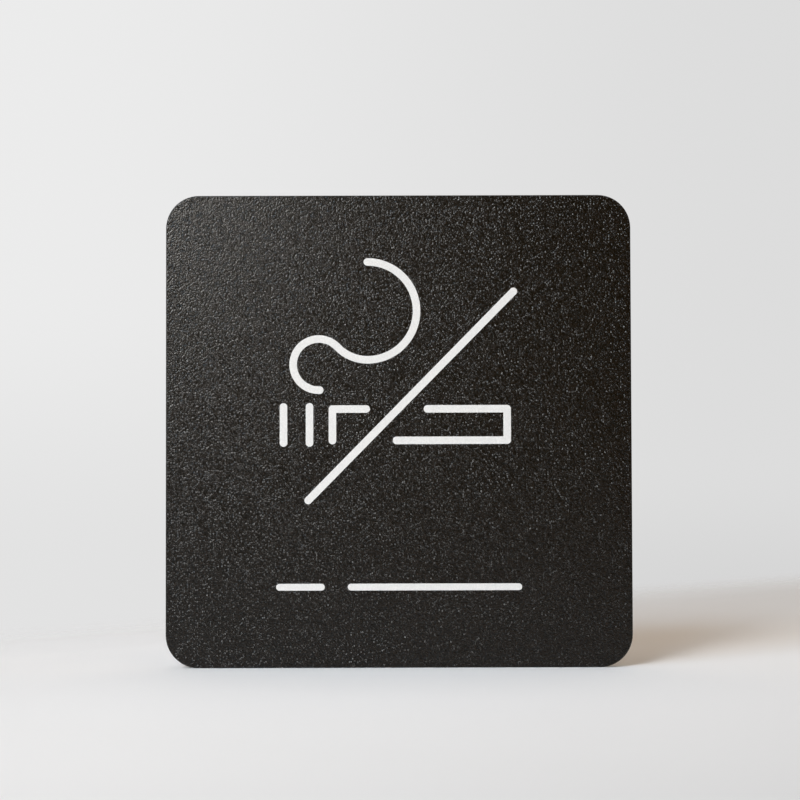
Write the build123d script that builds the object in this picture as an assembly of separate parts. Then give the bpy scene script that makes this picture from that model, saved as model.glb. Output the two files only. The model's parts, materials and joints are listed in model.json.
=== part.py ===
from build123d import *
import os

# A door or wall sign: a flat rounded plate with a white line figure printed on its front.
# Millimetres. The origin is the centre of the back face, the front faces -Y and +Z is up.

# Plate
plate_width = 120.0
plate_height = 121.7
plate_thickness = 3.0
corner_radius = 8.5
rim_round = 0.3  # Small round that runs along the front and the back edge

# Print: every line of the figure is drawn by one pen
line_width = 1.95
print_thickness = 0.1

# Cigarette outline, measured on the middle of its lines, with its height from the plate's middle
cigarette_length = 45.0
cigarette_height = 8.1
cigarette_base_z = -2.5
cigarette_offset = 5.9  # From the inner ash line to the burning end
ash_pitch = 6.7
ash_overrun = 0.6  # How far the ash lines reach past the outline, above and below

# Slash, and the breaks that it leaves in the outline, measured level from its middle line
slash_angle = 45.4
slash_cross = 12.9  # From the burning end to where the slash crosses the cigarette's middle
slash_above = 48.2  # From that crossing to the upper end
slash_below = 27.3
break_left = 8.2
break_right = 7.6

# Smoke: three arcs, each tangent to the next, from the upper end down to the foot over the ash
smoke_upper_radius = 12.65
smoke_lower_radius = 10.8
smoke_curl_radius = 6.6
smoke_upper_angle = 180.0
smoke_lower_angle = 46.4
smoke_curl_angle = 228.6
smoke_foot_offset = 2.65  # Level, from the inner ash line to the foot
smoke_gap = 2.35  # Clear height between the ash lines and the smoke's foot

# Caption bars under the figure
caption_width = 63.2
caption_short_bar = 12.5
caption_space = 5.9
caption_bar_height = 1.75
caption_above_bottom = 20.7

# Places that follow from the sizes above. The burning end is set so that the figure, from its outer
# ash line to the slash's upper end, is centred on the plate
slash_way = Vector(1, 0).rotate(Axis.Z, slash_angle)
figure_left = -cigarette_offset - ash_pitch
figure_right = slash_cross + (slash_way * slash_above).X
cigarette_left_x = -(figure_left + figure_right) / 2
cigarette_right_x = cigarette_left_x + cigarette_length
cigarette_top_z = cigarette_base_z + cigarette_height
ash_inner_x = cigarette_left_x - cigarette_offset
ash_outer_x = ash_inner_x - ash_pitch
ash_low_z = cigarette_base_z - ash_overrun
ash_high_z = cigarette_top_z + ash_overrun
crossing = Vector(cigarette_left_x + slash_cross, (cigarette_base_z + cigarette_top_z) / 2)
smoke_foot = Vector(ash_inner_x + smoke_foot_offset, ash_high_z + line_width + smoke_gap)
caption_z = caption_above_bottom - plate_height / 2
print_plane = Plane.XZ.offset(plate_thickness)


def slash_x(z):
    """Where the slash's middle line stands at a height."""
    return crossing.X + slash_way.X * (z - crossing.Y) / slash_way.Y


def printed(face):
    """A flat shape laid on the plate's front as a thin solid."""
    return extrude(print_plane * face, amount=print_thickness)


def stroke(path):
    """A line of the pen's width, with round ends and round outer corners."""
    return printed(SlotArc(path, line_width))


def make_plate():
    """The plate, with its rims rounded on both faces."""
    blank = extrude(Plane.XZ * RectangleRounded(plate_width, plate_height, corner_radius), plate_thickness)
    rims = blank.faces().sort_by(Axis.Y)[0].edges() + blank.faces().sort_by(Axis.Y)[-1].edges()
    return fillet(rims, rim_round)


def make_slash():
    """One straight bar through the crossing."""
    return stroke(Polyline(crossing - slash_way * slash_below, crossing + slash_way * slash_above))


def make_ash():
    """Two upright lines side by side."""
    lines = [Polyline((x, ash_low_z), (x, ash_high_z)) for x in (ash_outer_x, ash_inner_x)]
    return Part() + [stroke(line) for line in lines]


def make_cigarette():
    """The outline's two parts, cut back from the slash on each side."""
    burning_end = Polyline(
        (cigarette_left_x, cigarette_base_z),
        (cigarette_left_x, cigarette_top_z),
        (slash_x(cigarette_top_z) - break_left, cigarette_top_z),
    )
    filter_end = Polyline(
        (slash_x(cigarette_top_z) + break_right, cigarette_top_z),
        (cigarette_right_x, cigarette_top_z),
        (cigarette_right_x, cigarette_base_z),
        (slash_x(cigarette_base_z) + break_right, cigarette_base_z),
    )
    return Part() + [stroke(burning_end), stroke(filter_end)]


def make_smoke():
    """The smoke drawn down from its upper end, then set with its foot over the ash."""
    upper = JernArc((0, 0), (1, 0), smoke_upper_radius, -smoke_upper_angle)
    lower = JernArc(upper @ 1, upper % 1, smoke_lower_radius, -smoke_lower_angle)
    curl = JernArc(lower @ 1, lower % 1, smoke_curl_radius, smoke_curl_angle)
    return stroke(Pos(smoke_foot - curl @ 1) * Wire([upper, lower, curl]))


def make_caption_bars():
    """A short and a long bar on one line, together as wide as the caption."""
    long_bar = caption_width - caption_space - caption_short_bar
    short_x = (caption_short_bar - caption_width) / 2
    long_x = (caption_width - long_bar) / 2
    bars = [(short_x, caption_short_bar), (long_x, long_bar)]
    return Part() + [printed(Pos(x, caption_z) * SlotOverall(length, caption_bar_height)) for x, length in bars]


nodes = {
    "plate": make_plate(),
    "print_slash": make_slash(),
    "print_smoke": make_smoke(),
    "print_ash": make_ash(),
    "print_cigarette": make_cigarette(),
    "print_caption_bars": make_caption_bars(),
}

os.makedirs("parts", exist_ok=True)
for name, shape in nodes.items():
    export_step(shape, f"parts/{name}.step")
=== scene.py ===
import json
import math

import bpy
from mathutils import Matrix, Vector


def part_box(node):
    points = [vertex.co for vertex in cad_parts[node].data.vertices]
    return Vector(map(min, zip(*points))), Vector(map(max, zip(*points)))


# A door sign on a pale floor in soft studio light: a matte black plate with a fine sandy grain and a white
# printed line figure. Metres, unless a name says otherwise. The plate faces -Y and +Z is up.

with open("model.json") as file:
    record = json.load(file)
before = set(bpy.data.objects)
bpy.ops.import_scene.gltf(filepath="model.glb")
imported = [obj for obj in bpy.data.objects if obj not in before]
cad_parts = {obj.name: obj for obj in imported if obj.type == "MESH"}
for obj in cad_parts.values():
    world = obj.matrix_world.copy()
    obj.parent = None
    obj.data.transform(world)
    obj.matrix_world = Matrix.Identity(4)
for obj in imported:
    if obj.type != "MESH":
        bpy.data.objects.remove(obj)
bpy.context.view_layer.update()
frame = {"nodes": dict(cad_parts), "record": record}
nodes = frame["nodes"]
floor_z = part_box("plate")[0].z

# Camera
camera_place = Vector((0.00035, -0.51807, -0.00867))
camera_pitch_deg = 1.843
camera_roll_deg = -0.154
camera_lens_mm = 90.0

# Soft boxes, each aimed at the middle of the plate, with its angles in degrees. Azimuth is to the left of
# the camera's side. Glow is the brightness of the box's face at a spread of 180, where 1 is white. The
# key box's narrow spread gathers its light on the plate and keeps most of it off the floor
soft_boxes = {
    "key_box": {
        "azimuth": 22.0, "elevation": 19.0, "distance": 0.6, "size": 0.14, "spread": 70.0,
        "glow": 4.6, "colour": (1.05, 1.0, 0.93),
    },
    "side_box": {
        "azimuth": 34.0, "elevation": 28.0, "distance": 2.5, "size": 1.6, "spread": 180.0,
        "glow": 5.5, "colour": (0.76, 1.0, 1.22),
    },
    "top_box": {
        "azimuth": 0.0, "elevation": 94.0, "distance": 1.0, "size": 1.0, "spread": 180.0,
        "glow": 1.12, "colour": (1.02, 1.0, 1.05),
    },
}

# World: a soft fill on the object, and a pale backdrop for what the camera and the gloss see, with painted
# shade that darkens it to the right and towards the floor. Its spans are shares of the direction's X, Y or Z
fill_colour = (1.65, 1.0, 0.2)
fill_strength = 0.12
backdrop_left = (0.765, 0.835)  # Low and high
backdrop_left_span = (-0.05, 0.09)
backdrop_right = (0.665, 0.72)
backdrop_right_span = (-0.07, 0.0)
backdrop_across = (-0.2, 0.2)  # From its left side to its right side
backdrop_gloss = (-0.3, 0.3)  # From the front, where gloss sees the fill, to the back

# Floor: a round of pale board, which thins out into the backdrop behind the plate and at its rim
floor_size = 1.0
floor_tint = (0.995, 1.0, 1.025)
# Painted shade: the board's colour is darker in front of the plate, towards the camera, than behind it
floor_painted_shade_tones = (0.78, 0.965)  # In front and behind
floor_painted_shade_depth = (-0.2, 0.04)
floor_fade_depth = (0.12, 0.26)  # At the middle of the picture. It is deeper to the right
floor_fade_rim = (0.36, 0.5)  # Distance from the middle
floor_roughness = 0.7
floor_specular = 0.1

# Sandy grain: small cones that stand close together, each from 0 in its pit to 1 on its peak
grain_pitch = 0.00042
grain_steepness = (0.3, 1.8)
steep_rarity = 2.0  # The higher it is, the fewer grains are steep
# Span of the cones over which the colour goes from painted shade in the pits to painted light on the peaks
painted_light_cones = (0.3, 0.9)

# Black plastic, with pairs from pit to peak. Slope is the height of a grain of steepness 1 over its pitch
black_colour = (0.0034, 0.0014, 0.0002)
# Colour tones from pit to peak: painted shade in the pits, painted light on the peaks
black_painted_light_tones = (0.2, 2.0)
black_slope = 0.2
black_roughness = (0.2, 0.28)
black_roughness_cones = (0.35, 0.6)
black_specular = 0.305

# White ink
ink_colour = (0.65, 0.627, 0.61)
# Colour tones from pit to peak: faint painted shade in the pits, faint painted light on the peaks
ink_painted_light_tones = (0.93, 1.05)
ink_slope = 0.05
ink_roughness = 0.6


def add(tree, kind, inputs=None, **settings):
    """A shader node with its settings and the values or links of its sockets."""
    made = tree.nodes.new(kind)
    for name, value in settings.items():
        setattr(made, name, value)
    for name, value in (inputs or {}).items():
        if isinstance(value, bpy.types.NodeSocket):
            tree.links.new(value, made.inputs[name])
        else:
            made.inputs[name].default_value = value
    return made


def new_material(name):
    """An empty node material and its tree."""
    material = bpy.data.materials.new(name)
    material.use_nodes = True
    material.node_tree.nodes.clear()
    return material, material.node_tree


def math_node(tree, operation, first, second):
    """The result of a math operation on two values."""
    return add(tree, "ShaderNodeMath", {0: first, 1: second}, operation=operation).outputs[0]


def remap(tree, value, span, result=(0.0, 1.0), smooth=False):
    """Takes a value from its place in the span to the same place in the result, held at the ends."""
    inputs = {
        "Value": value, "From Min": span[0], "From Max": span[1],
        "To Min": result[0], "To Max": result[1],
    }
    kind = "SMOOTHSTEP" if smooth else "LINEAR"
    return add(tree, "ShaderNodeMapRange", inputs, interpolation_type=kind).outputs["Result"]


def toned(tree, colour, tone):
    """A colour times a tone."""
    return add(tree, "ShaderNodeVectorMath", {0: colour, "Scale": tone}, operation="SCALE").outputs["Vector"]


def sandy_grain(tree, slope, colour, painted_light_tones):
    """A grained surface's normal, its colour with painted shade in the pits and painted light on the peaks,
    and its cones. Few grains are steep.
    """
    place = add(tree, "ShaderNodeTexCoord").outputs["Object"]
    grains = add(tree, "ShaderNodeTexVoronoi", {"Vector": place, "Scale": 1 / grain_pitch})
    chance = add(tree, "ShaderNodeSeparateColor", {"Color": grains.outputs["Color"]}).outputs["Red"]
    steepness = remap(tree, math_node(tree, "POWER", chance, steep_rarity), (0.0, 1.0), grain_steepness)
    cone = math_node(tree, "SUBTRACT", 1.0, grains.outputs["Distance"])
    height = math_node(tree, "MULTIPLY", cone, steepness)
    bump = add(tree, "ShaderNodeBump", {"Height": height, "Distance": slope * grain_pitch, "Strength": 1.0})
    # The colour is painted shade in the pits and painted light on the peaks
    return bump.outputs["Normal"], toned(tree, colour, remap(tree, cone, painted_light_cones, painted_light_tones)), cone


def black_plastic():
    """Matte black plastic with a sandy grain, which is duller on the peaks than in the pits, and whose
    colour has painted shade in the pits and painted light on the peaks.
    """
    material, tree = new_material("black_plastic")
    normal, colour, cone = sandy_grain(tree, black_slope, black_colour, black_painted_light_tones)
    rough = remap(tree, cone, black_roughness_cones, black_roughness)
    shader = add(tree, "ShaderNodeBsdfPrincipled", {
        "Base Color": colour, "Roughness": rough, "Normal": normal, "Specular IOR Level": black_specular,
    })
    add(tree, "ShaderNodeOutputMaterial", {"Surface": shader.outputs["BSDF"]})
    return material


def white_ink():
    """Matte white ink, which follows the plate's grain faintly, with faint painted shade in the pits and
    faint painted light on the peaks.
    """
    material, tree = new_material("white_ink")
    normal, colour, cone = sandy_grain(tree, ink_slope, ink_colour, ink_painted_light_tones)
    shader = add(tree, "ShaderNodeBsdfPrincipled", {
        "Base Color": colour, "Roughness": ink_roughness, "Normal": normal,
    })
    add(tree, "ShaderNodeOutputMaterial", {"Surface": shader.outputs["BSDF"]})
    return material


def floor_board():
    """Pale matte board that thins out to clear behind the plate and at its rim, with painted shade that
    darkens it in front of the plate.
    """
    material, tree = new_material("floor_board")
    place = add(tree, "ShaderNodeTexCoord").outputs["Object"]
    parts = add(tree, "ShaderNodeSeparateXYZ", {"Vector": place})
    slanted = math_node(tree, "SUBTRACT", parts.outputs["Y"], parts.outputs["X"])
    reach = add(tree, "ShaderNodeVectorMath", {0: place}, operation="LENGTH").outputs["Value"]
    behind = remap(tree, slanted, floor_fade_depth, smooth=True)
    at_rim = remap(tree, reach, floor_fade_rim, smooth=True)
    thinned = math_node(tree, "MAXIMUM", behind, at_rim)
    # Painted shade, darker in front of the plate
    tone = remap(tree, parts.outputs["Y"], floor_painted_shade_depth, floor_painted_shade_tones)
    shader = add(tree, "ShaderNodeBsdfPrincipled", {
        "Base Color": toned(tree, floor_tint, tone), "Roughness": floor_roughness,
        "Specular IOR Level": floor_specular,
    })
    clear = add(tree, "ShaderNodeBsdfTransparent")
    mixed = add(tree, "ShaderNodeMixShader", {
        "Fac": thinned, 1: shader.outputs["BSDF"], 2: clear.outputs["BSDF"],
    })
    add(tree, "ShaderNodeOutputMaterial", {"Surface": mixed.outputs["Shader"]})
    return material


def make_floor():
    """The floor under the plate."""
    half = floor_size / 2
    corners = [(x, y, 0) for x, y in ((-half, -half), (half, -half), (half, half), (-half, half))]
    mesh = bpy.data.meshes.new("floor")
    mesh.from_pydata(corners, [], [(0, 1, 2, 3)])
    floor = bpy.data.objects.new("floor", mesh)
    floor.location = (0, 0, floor_z)
    mesh.materials.append(floor_board())
    bpy.context.scene.collection.objects.link(floor)


def make_world():
    """A warm fill on the object, and a pale backdrop with painted shade that darkens it to the right and
    towards the floor.
    """
    world = bpy.data.worlds.new("studio")
    world.use_nodes = True
    tree = world.node_tree
    tree.nodes.clear()
    way = add(tree, "ShaderNodeTexCoord").outputs["Generated"]
    parts = add(tree, "ShaderNodeSeparateXYZ", {"Vector": way})
    # Painted shade: the backdrop is darker to the right and towards the floor
    left = remap(tree, parts.outputs["Z"], backdrop_left_span, backdrop_left, smooth=True)
    right = remap(tree, parts.outputs["Z"], backdrop_right_span, backdrop_right, smooth=True)
    pale = remap(tree, parts.outputs["X"], backdrop_across, (left, right), smooth=True)
    rays = add(tree, "ShaderNodeLightPath")
    behind = remap(tree, parts.outputs["Y"], backdrop_gloss)
    mirrored = math_node(tree, "MULTIPLY", rays.outputs["Is Glossy Ray"], behind)
    seen = math_node(tree, "MAXIMUM", rays.outputs["Is Camera Ray"], mirrored)
    seen = math_node(tree, "MAXIMUM", seen, rays.outputs["Is Transmission Ray"])
    fill = add(tree, "ShaderNodeBackground", {"Color": (*fill_colour, 1.0), "Strength": fill_strength})
    backdrop = add(tree, "ShaderNodeBackground", {"Color": (1.0, 1.0, 1.0, 1.0), "Strength": pale})
    mixed = add(tree, "ShaderNodeMixShader", {
        "Fac": seen, 1: fill.outputs["Background"], 2: backdrop.outputs["Background"],
    })
    add(tree, "ShaderNodeOutputWorld", {"Surface": mixed.outputs["Shader"]})
    bpy.context.scene.world = world


def make_soft_box(name, azimuth, elevation, distance, size, spread, glow, colour):
    """A square soft box. At a glow of 1 its face gives pi watts a square metre."""
    turn, rise = math.radians(azimuth), math.radians(elevation)
    way = Vector((-math.sin(turn) * math.cos(rise), -math.cos(turn) * math.cos(rise), math.sin(rise)))
    lamp = bpy.data.lights.new(name, "AREA")
    lamp.size = size
    lamp.spread = math.radians(spread)
    lamp.energy = math.pi * glow * size ** 2
    lamp.color = colour
    holder = bpy.data.objects.new(name, lamp)
    holder.location = way * distance
    holder.rotation_euler = way.to_track_quat("Z", "Y").to_euler()
    bpy.context.scene.collection.objects.link(holder)


def make_camera():
    """The photograph's view: nearly square on, from just under the plate's middle."""
    camera = bpy.data.cameras.new("camera")
    camera.lens = camera_lens_mm
    holder = bpy.data.objects.new("camera", camera)
    pitch = Matrix.Rotation(math.radians(90 + camera_pitch_deg), 4, "X")
    roll = Matrix.Rotation(math.radians(camera_roll_deg), 4, "Z")
    holder.matrix_world = Matrix.Translation(camera_place) @ pitch @ roll
    bpy.context.scene.collection.objects.link(holder)
    bpy.context.scene.camera = holder


def dress_nodes():
    """Gives each node the material of its record slot."""
    made = {"black_plastic": black_plastic(), "white_print": white_ink()}
    for part in frame["record"]["subparts"]:
        node = nodes[part["node"]]
        node.data.materials.clear()
        node.data.materials.append(made[part["material_slot"]])


bpy.context.scene.view_settings.view_transform = "Standard"
dress_nodes()
make_floor()
make_world()
for name, box in soft_boxes.items():
    make_soft_box(name, **box)
make_camera()
